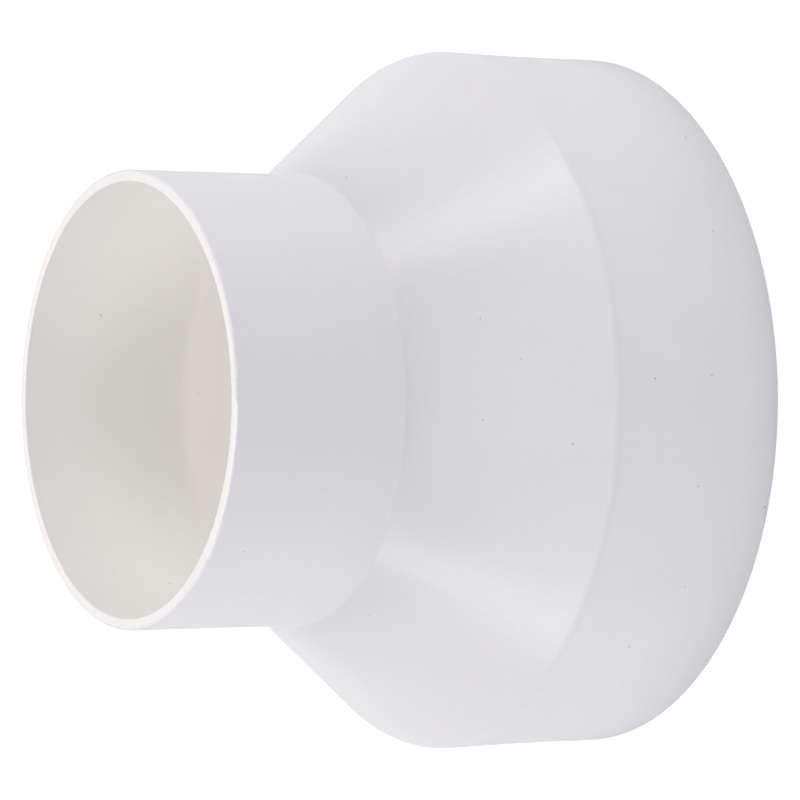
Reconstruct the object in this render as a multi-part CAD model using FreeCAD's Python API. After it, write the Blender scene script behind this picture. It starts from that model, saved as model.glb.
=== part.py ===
import FreeCAD, Part

import math
import os

# Concentric pipe reducer: a plain spigot for 160 mm pipe and a plain spigot for 250 mm pipe,
# joined by a conical transition. One wall, hollow right through.
# The pipe axis is +Z. The fitting stands on the rim of its large spigot at z = 0, small end up.
# Each section of the wall is a solid of its own, and neighbours meet face to face.

# --- driving dimensions, mm ---
SMALL_OD = 160.0
SMALL_WALL = 4.2
SMALL_STRAIGHT = 66.0
LARGE_OD = 250.4
LARGE_WALL = 6.2
LARGE_STRAIGHT = 66.1
CONE_LENGTH = 56.7
NECK_WALL = 3.8
SHOULDER_WALL = 6.2

# The cone's wall thickens from the neck, where it leaves the small spigot, to the shoulder.
# The large spigot swells a little in radius over its last run up to the shoulder.
SHOULDER_SWELL = 0.5
SHOULDER_RUN = 30.0

# --- rounded edges and corners, mm ---
SMALL_RIM_ROUND = 1.2
LARGE_RIM_ROUND = 0.8
BORE_EDGE_ROUND = 0.5
NECK_FILLET = 2.5
NECK_INNER_ROUND = 9.0
SHOULDER_ROUND = 6.0
SHOULDER_INNER_ROUND = 6.0
BLEND_ROUND = 150.0

# Each spigot stops this far short of the corner where the cone meets it, so that the cone
# carries the whole bend at each of its ends.
JOINT_SETBACK = 5.0

# --- worked out ---
SMALL_R = SMALL_OD / 2
LARGE_R = LARGE_OD / 2
SHOULDER_R = LARGE_R + SHOULDER_SWELL
SMALL_BORE_R = SMALL_R - SMALL_WALL
LARGE_BORE_R = LARGE_R - LARGE_WALL
SHOULDER_Z = LARGE_STRAIGHT
NECK_Z = SHOULDER_Z + CONE_LENGTH
HEIGHT = NECK_Z + SMALL_STRAIGHT
CONE_ANGLE = math.atan2(SHOULDER_R - SMALL_R, CONE_LENGTH)


def inside_of_cone(radius, wall):
    """Height at which the cone is this much wall thick, at this radius on its inner face."""
    across = wall / math.sin(CONE_ANGLE)
    return NECK_Z - (radius - SMALL_R) / math.tan(CONE_ANGLE) - across


def half_section():
    """Corners of the wall's half section as (radius, height, rounding), all the way round."""
    outside = [
        (SMALL_R, HEIGHT, SMALL_RIM_ROUND),
        (SMALL_R, NECK_Z, NECK_FILLET),
        (SHOULDER_R, SHOULDER_Z, SHOULDER_ROUND),
        (LARGE_R, SHOULDER_Z - SHOULDER_RUN, BLEND_ROUND),
        (LARGE_R, 0.0, LARGE_RIM_ROUND),
    ]
    inside = [
        (LARGE_BORE_R, 0.0, BORE_EDGE_ROUND),
        (LARGE_BORE_R, inside_of_cone(LARGE_BORE_R, SHOULDER_WALL), SHOULDER_INNER_ROUND),
        (SMALL_BORE_R, inside_of_cone(SMALL_BORE_R, NECK_WALL), NECK_INNER_ROUND),
        (SMALL_BORE_R, HEIGHT, BORE_EDGE_ROUND),
    ]
    return outside + inside


def point(radius, height):
    return FreeCAD.Vector(radius, 0.0, height)


def rounded_face(corners):
    """Flat face in the XZ plane whose outline has each corner rounded by its own radius."""
    arcs = []
    for index, (radius, height, rounding) in enumerate(corners):
        corner = point(radius, height)
        before = point(*corners[index - 1][:2])
        after = point(*corners[(index + 1) % len(corners)][:2])
        towards_before = (before - corner).normalize()
        towards_after = (after - corner).normalize()
        half_angle = towards_before.getAngle(towards_after) / 2
        setback = rounding / math.tan(half_angle)
        to_middle = (towards_before + towards_after).normalize()
        nearest = rounding / math.sin(half_angle) - rounding
        arcs.append(
            (
                corner + towards_before * setback,
                corner + to_middle * nearest,
                corner + towards_after * setback,
            )
        )
    edges = []
    for index, (start, middle, end) in enumerate(arcs):
        edges.append(Part.makeLine(arcs[index - 1][2], start))
        edges.append(Part.Arc(start, middle, end).toShape())
    return Part.Face(Part.Wire(edges))


def wall_section(section, bottom, top):
    """Solid ring: the part of the half section between two heights, turned about the axis."""
    band = Part.makePlane(
        LARGE_OD, top - bottom, point(0.0, bottom), FreeCAD.Vector(0, -1, 0), FreeCAD.Vector(1, 0, 0)
    )
    strip = section.common(band).Faces[0]
    return strip.revolve(point(0.0, 0.0), FreeCAD.Vector(0, 0, 1), 360)


lower_joint = SHOULDER_Z - JOINT_SETBACK
upper_joint = NECK_Z + JOINT_SETBACK

section = rounded_face(half_section())
nodes = {
    "large_spigot": wall_section(section, 0.0, lower_joint),
    "transition_cone": wall_section(section, lower_joint, upper_joint),
    "small_spigot": wall_section(section, upper_joint, HEIGHT),
}

os.makedirs("parts", exist_ok=True)
for name, shape in nodes.items():
    shape.exportStep(f"parts/{name}.step")
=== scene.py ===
import math

import bpy
from mathutils import Matrix, Vector


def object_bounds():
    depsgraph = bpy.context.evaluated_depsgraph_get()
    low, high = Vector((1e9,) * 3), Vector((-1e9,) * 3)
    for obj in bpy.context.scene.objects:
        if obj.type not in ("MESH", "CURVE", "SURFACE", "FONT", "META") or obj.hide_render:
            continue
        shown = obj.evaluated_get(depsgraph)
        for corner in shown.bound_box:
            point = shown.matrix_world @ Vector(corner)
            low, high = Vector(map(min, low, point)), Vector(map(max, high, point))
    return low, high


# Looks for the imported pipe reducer: moulded white PVC on a pale floor in plain soft light.
# Metres, in the row frame: the pipe axis is +Z, and the large rim stands on the floor at z = 0.
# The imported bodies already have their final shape, so only their material is made here.

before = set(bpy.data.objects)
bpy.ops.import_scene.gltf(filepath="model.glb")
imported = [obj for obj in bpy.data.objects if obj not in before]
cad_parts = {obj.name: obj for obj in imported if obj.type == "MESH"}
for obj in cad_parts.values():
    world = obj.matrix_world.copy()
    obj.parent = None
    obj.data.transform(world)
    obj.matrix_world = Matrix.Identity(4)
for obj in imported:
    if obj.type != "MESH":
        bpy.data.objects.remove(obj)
CAD_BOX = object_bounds()
TOP = CAD_BOX[1][2]

# --- camera ---
CAMERA_DISTANCE = 1.363
CAMERA_ABOVE_TOP = 0.725
AIM_BELOW_TOP = 0.1124
LENS_MM = 200.0
SENSOR_MM = 36.0
CAMERA_REACH = 100.0

# --- floor ---
FLOOR_SIZE = 30.0
FLOOR_COLOR = (0.93, 0.93, 0.93, 1.0)
FLOOR_ROUGHNESS = 0.9
FLOOR_GLOW = 0.5
FLOOR_GLOW_COLOR = (1.0, 1.0, 1.0, 1.0)
BOUNCE_DROP = 0.0005

# --- lights: softboxes on a dome round the object, a glow at the horizon and one in the large mouth ---
LIGHT_DISTANCE = 1.8
LIGHT_AIM = Vector((0.0, 0.0, 0.09))
SOFTBOX = (0.8, 0.8)
STRIP = (0.45, 0.5)
NEUTRAL = (1.0, 0.995, 0.99)
WARM = (1.06, 1.03, 0.91)
COOL = (0.97, 0.965, 1.06)
# Each light's name, azimuth and elevation in degrees, size, watts and colour.
SIDE_LIGHTS = (
    ("front", 25, 38, SOFTBOX, 1.1, NEUTRAL),
    ("low", 50, 25, SOFTBOX, 2.4, COOL),
    ("strip", 76, 27, STRIP, 3.4, NEUTRAL),
    ("high", 100, 50, SOFTBOX, 7.0, NEUTRAL),
)
MIDDLE_LIGHTS = (
    ("front", 0, 46, SOFTBOX, 1.0, NEUTRAL),
    ("front_low", 0, 20, SOFTBOX, 1.0, NEUTRAL),
    ("back", 180, 60, SOFTBOX, 8.1, NEUTRAL),
    ("top", 180, 80, SOFTBOX, 5.6, WARM),
)
HORIZON_COLOR = (0.94, 0.92, 1.13, 1.0)
HORIZON_GLOW = 0.26
HORIZON_TOP = math.radians(30.0)
MOUTH_GLOW_SIZE = 0.236
MOUTH_GLOW_POWER = 0.05

# --- white PVC: sizes, heights and depths in metres, tints and roughness as parts of one ---
OUTSIDE_COLOR = (0.957, 0.948, 0.961, 1.0)
# Painted bounce light: the bore's colour is the outside's made brighter and warmer, for light that reflects
# about inside the bore.
BORE_PAINTED_BOUNCE_COLOR = (0.97, 0.95, 0.92, 1.0)
# How far a surface faces away from the axis, -1 to 1: below the first of these two values, the bore's
# brighter, warmer colour of painted bounce light; above the second, the outside's plain colour; and a soft
# change between them.
BORE_TURN = -0.7
OUTSIDE_TURN = 0.3
PVC_ROUGHNESS = 0.305
PVC_IOR = 1.53
# In colour and roughness: broad clouds, long thin flow lines spaced as on a tube of FLOW_RADIUS, fine mottle.
CLOUD_SIZE = 0.028
CLOUD_DETAIL = 3.0
CLOUD_TINT = 0.010
CLOUD_ROUGHNESS = 0.015
FLOW_WIDTH = 0.004
FLOW_LENGTH = 0.070
FLOW_RADIUS = 0.100
FLOW_DETAIL = 2.0
FLOW_TINT = 0.006
FLOW_ROUGHNESS = 0.010
MOTTLE_SIZE = 0.0022
MOTTLE_DETAIL = 1.0
MOTTLE_TINT = 0.005
# In relief: mould waviness, orange peel and grain.
WAVE_SIZE = 0.035
WAVE_DETAIL = 0.0
WAVE_HEIGHT = 0.000075
PEEL_SIZE = 0.0035
PEEL_DETAIL = 1.0
PEEL_HEIGHT = 0.000025
GRAIN_SIZE = 0.0010
GRAIN_DETAIL = 2.0
GRAIN_HEIGHT = 0.000009
# Sparse dark specks, fully dark out to SPECK_CORE of their radius.
SPECK_SPACING = 0.0125
SPECK_RADIUS = 0.00038
SPECK_CORE = 0.5
SPECK_COLOR = (0.42, 0.39, 0.36, 1.0)
# Knocks within SCUFF_REACH of a rim: none where the noise is above SCUFF_EDGE, full depth at SCUFF_FLOOR.
SCUFF_REACH = 0.0035
SCUFF_SIZE = 0.0016
SCUFF_DETAIL = 3.0
SCUFF_EDGE = -0.4
SCUFF_FLOOR = -0.8
SCUFF_DEPTH = 0.00006
SCUFF_TINT = 0.04
SCUFF_ROUGHNESS = 0.20
# The noise texture's output stays nearly always between these two.
NOISE_LOW = 0.25
NOISE_HIGH = 0.75


def principled(material):
    """The material's surface shader, with nodes switched on."""
    material.use_nodes = True
    return material.node_tree.nodes["Principled BSDF"]


def make_camera():
    """A long lens looks down past the small end, turned on its side so that this end is to the left."""
    place = Vector((0.0, -CAMERA_DISTANCE, TOP + CAMERA_ABOVE_TOP))
    forward = (Vector((0.0, 0.0, TOP - AIM_BELOW_TOP)) - place).normalized()
    up = Vector((1.0, 0.0, 0.0))
    right = forward.cross(up)
    turn = Matrix((right, up, -forward)).transposed().to_4x4()
    data = bpy.data.cameras.new("camera")
    data.lens = LENS_MM
    data.sensor_width = SENSOR_MM
    data.clip_end = CAMERA_REACH
    camera = bpy.data.objects.new("camera", data)
    camera.matrix_world = Matrix.Translation(place) @ turn
    bpy.context.scene.collection.objects.link(camera)
    bpy.context.scene.camera = camera


def link_light(name, data, place):
    """An area light that the camera doesn't see."""
    light = bpy.data.objects.new(name, data)
    light.location = place
    light.visible_camera = False
    bpy.context.scene.collection.objects.link(light)
    return light


def softbox(name, azimuth, elevation, size, power, color):
    """A softbox that faces the object. Azimuth 0 is the camera's side, 90 is +X."""
    data = bpy.data.lights.new(name, "AREA")
    data.shape = "RECTANGLE"
    data.size, data.size_y = size
    data.energy = power
    data.color = color
    turn, tilt = math.radians(azimuth), math.radians(elevation)
    away = Vector((math.sin(turn) * math.cos(tilt), -math.cos(turn) * math.cos(tilt), math.sin(tilt)))
    light = link_light(name, data, LIGHT_AIM + LIGHT_DISTANCE * away)
    light.rotation_euler = (-away).to_track_quat("-Z", "Y").to_euler()


def make_softboxes():
    """The side lights, once on the right and once mirrored on the left, and then the middle ones."""
    for side, half in ((1, "right"), (-1, "left")):
        for name, azimuth, *rest in SIDE_LIGHTS:
            softbox(f"{half}_{name}", azimuth * side, *rest)
    for light in MIDDLE_LIGHTS:
        softbox(*light)


def mouth_glow():
    """Soft light that comes up into the fitting through its large mouth."""
    data = bpy.data.lights.new("mouth_glow", "AREA")
    data.shape = "DISK"
    data.size = MOUTH_GLOW_SIZE
    data.energy = MOUTH_GLOW_POWER
    light = link_light("mouth_glow", data, (0.0, 0.0, BOUNCE_DROP))
    light.rotation_euler = (math.pi, 0.0, 0.0)


def floor_plane(name, height, glow):
    """A plain matt floor."""
    bpy.ops.mesh.primitive_plane_add(size=FLOOR_SIZE, location=(0.0, 0.0, height))
    plane = bpy.context.object
    plane.name = name
    material = bpy.data.materials.new(name)
    shader = principled(material)
    shader.inputs["Base Color"].default_value = FLOOR_COLOR
    shader.inputs["Roughness"].default_value = FLOOR_ROUGHNESS
    shader.inputs["Specular IOR Level"].default_value = 0.0
    shader.inputs["Emission Color"].default_value = FLOOR_GLOW_COLOR
    shader.inputs["Emission Strength"].default_value = glow
    plane.data.materials.append(material)
    return plane


def make_floor():
    """The floor that the camera sees glows faintly, and a hidden one under it bounces the light."""
    floor = floor_plane("floor", 0.0, FLOOR_GLOW)
    floor.visible_diffuse = False
    floor.visible_glossy = False
    floor.visible_transmission = False
    floor.visible_shadow = False
    bounce = floor_plane("bounce_floor", -BOUNCE_DROP, 0.0)
    bounce.visible_camera = False


def make_world():
    """A pale glow all round the horizon, dark overhead."""
    world = bpy.data.worlds.new("world")
    world.use_nodes = True
    nodes, links = world.node_tree.nodes, world.node_tree.links
    direction = nodes.new("ShaderNodeTexCoord")
    height = nodes.new("ShaderNodeSeparateXYZ")
    low = nodes.new("ShaderNodeMath")
    low.operation = "LESS_THAN"
    low.inputs[1].default_value = math.sin(HORIZON_TOP)
    glow = nodes.new("ShaderNodeMath")
    glow.operation = "MULTIPLY"
    glow.inputs[1].default_value = HORIZON_GLOW
    background = nodes["Background"]
    background.inputs["Color"].default_value = HORIZON_COLOR
    links.new(direction.outputs["Generated"], height.inputs[0])
    links.new(height.outputs["Z"], low.inputs[0])
    links.new(low.outputs[0], glow.inputs[0])
    links.new(glow.outputs[0], background.inputs["Strength"])
    bpy.context.scene.world = world


def put(tree, socket, value):
    """Links an output to a socket, or gives the socket a plain value."""
    if isinstance(value, bpy.types.NodeSocket):
        tree.links.new(value, socket)
    else:
        socket.default_value = value


def calculate(tree, kind, operation, *values):
    """The outputs of a maths node of the given kind, with its inputs filled in order."""
    node = tree.nodes.new(kind)
    node.operation = operation
    for socket, value in zip(node.inputs, values):
        put(tree, socket, value)
    return node.outputs


def number(tree, operation, *values):
    """The result of an operation on numbers."""
    return calculate(tree, "ShaderNodeMath", operation, *values)["Value"]


def vector(tree, operation, *values):
    """The result of an operation on vectors that gives a vector."""
    return calculate(tree, "ShaderNodeVectorMath", operation, *values)["Vector"]


def blend(tree, share, first, second):
    """A colour between two others."""
    node = tree.nodes.new("ShaderNodeMix")
    node.data_type = "RGBA"
    put(tree, node.inputs["Factor"], share)
    put(tree, node.inputs["A"], first)
    put(tree, node.inputs["B"], second)
    return node.outputs["Result"]


def spread(tree, value, start, end, first, last):
    """Turns start..end into first..last, and stays level beyond both."""
    node = tree.nodes.new("ShaderNodeMapRange")
    for socket, item in zip(node.inputs, (value, start, end, first, last)):
        put(tree, socket, item)
    return node.outputs["Result"]


def vary(tree, start, *parts):
    """A number, plus each value times its weight."""
    total = start
    for value, weight in parts:
        total = number(tree, "MULTIPLY_ADD", value, weight, total)
    return total


def noise(tree, place, size, detail):
    """Smooth random numbers from -1 to 1, in lumps of the given size."""
    node = tree.nodes.new("ShaderNodeTexNoise")
    put(tree, node.inputs["Vector"], place)
    node.inputs["Scale"].default_value = 1.0 / size
    node.inputs["Detail"].default_value = detail
    return spread(tree, node.outputs["Fac"], NOISE_LOW, NOISE_HIGH, -1.0, 1.0)


def relief(tree, *layers):
    """The surface's normal under several layers of height, each a value and its depth."""
    normal = None
    for height, depth in layers:
        node = tree.nodes.new("ShaderNodeBump")
        node.inputs["Distance"].default_value = depth
        put(tree, node.inputs["Height"], height)
        if normal is not None:
            put(tree, node.inputs["Normal"], normal)
        normal = node.outputs["Normal"]
    return normal


def flow_lines(tree, place, radial):
    """Faint lines along the wall, from one end of the fitting to the other, as the melt ran."""
    around = vector(tree, "MULTIPLY", radial, (FLOW_RADIUS, FLOW_RADIUS, 0.0))
    along = vector(tree, "MULTIPLY", place, (0.0, 0.0, FLOW_WIDTH / FLOW_LENGTH))
    return noise(tree, vector(tree, "ADD", around, along), FLOW_WIDTH, FLOW_DETAIL)


def specks(tree, place):
    """1 in the sparse dark specks of the resin, 0 elsewhere."""
    cells = tree.nodes.new("ShaderNodeTexVoronoi")
    put(tree, cells.inputs["Vector"], place)
    cells.inputs["Scale"].default_value = 1.0 / SPECK_SPACING
    edge = SPECK_RADIUS / SPECK_SPACING
    return spread(tree, cells.outputs["Distance"], SPECK_CORE * edge, edge, 1.0, 0.0)


def scuffs(tree, place):
    """1 in the small knocks along both rims, 0 elsewhere."""
    apart = tree.nodes.new("ShaderNodeSeparateXYZ")
    put(tree, apart.inputs[0], place)
    height = apart.outputs["Z"]
    to_rim = number(tree, "MINIMUM", number(tree, "SUBTRACT", TOP, height), height)
    near_rim = spread(tree, to_rim, 0.0, SCUFF_REACH, 1.0, 0.0)
    knocks = noise(tree, place, SCUFF_SIZE, SCUFF_DETAIL)
    depth = spread(tree, knocks, SCUFF_EDGE, SCUFF_FLOOR, 0.0, 1.0)
    return number(tree, "MULTIPLY", near_rim, depth)


def painted_bounce_side(tree, radial, normal):
    """1 on the walls of the bore, where the bounce light is painted, and 0 outside, with a soft change over
    the rims.
    """
    outward = calculate(tree, "ShaderNodeVectorMath", "DOT_PRODUCT", radial, normal)["Value"]
    return spread(tree, outward, BORE_TURN, OUTSIDE_TURN, 1.0, 0.0)


def make_pvc():
    """Moulded PVC: satin, faintly cloudy and streaked, with orange peel, sparse specks, scuffed rims and
    painted bounce light in the bore.
    """
    material = bpy.data.materials.new("pvc_white")
    shader = principled(material)
    tree = material.node_tree
    where = tree.nodes.new("ShaderNodeTexCoord")
    place = where.outputs["Object"]
    radial = vector(tree, "NORMALIZE", vector(tree, "MULTIPLY", place, (1.0, 1.0, 0.0)))
    clouds = noise(tree, place, CLOUD_SIZE, CLOUD_DETAIL)
    flow = flow_lines(tree, place, radial)
    mottle = noise(tree, place, MOTTLE_SIZE, MOTTLE_DETAIL)
    scuff = scuffs(tree, place)

    # The bore gets a brighter, warmer copy of the outside colour: painted bounce light.
    resin = blend(tree, painted_bounce_side(tree, radial, where.outputs["Normal"]), OUTSIDE_COLOR, BORE_PAINTED_BOUNCE_COLOR)
    tints = ((clouds, CLOUD_TINT), (flow, FLOW_TINT), (mottle, MOTTLE_TINT), (scuff, -SCUFF_TINT))
    shaded = tree.nodes.new("ShaderNodeVectorMath")
    shaded.operation = "SCALE"
    put(tree, shaded.inputs[0], resin)
    put(tree, shaded.inputs["Scale"], vary(tree, 1.0, *tints))
    speckled = blend(tree, specks(tree, place), shaded.outputs["Vector"], SPECK_COLOR)
    put(tree, shader.inputs["Base Color"], speckled)

    dulling = ((clouds, CLOUD_ROUGHNESS), (flow, FLOW_ROUGHNESS), (scuff, SCUFF_ROUGHNESS))
    put(tree, shader.inputs["Roughness"], vary(tree, PVC_ROUGHNESS, *dulling))
    shader.inputs["IOR"].default_value = PVC_IOR

    waves = noise(tree, place, WAVE_SIZE, WAVE_DETAIL)
    peel = noise(tree, place, PEEL_SIZE, PEEL_DETAIL)
    grain = noise(tree, place, GRAIN_SIZE, GRAIN_DETAIL)
    layers = ((waves, WAVE_HEIGHT), (peel, PEEL_HEIGHT), (grain, GRAIN_HEIGHT), (scuff, -SCUFF_DEPTH))
    put(tree, shader.inputs["Normal"], relief(tree, *layers))
    return material


make_camera()
make_floor()
make_world()
mouth_glow()
make_softboxes()
bpy.context.scene.view_settings.view_transform = "Standard"

pvc = make_pvc()
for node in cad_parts.values():
    node.data.materials.clear()
    node.data.materials.append(pvc)
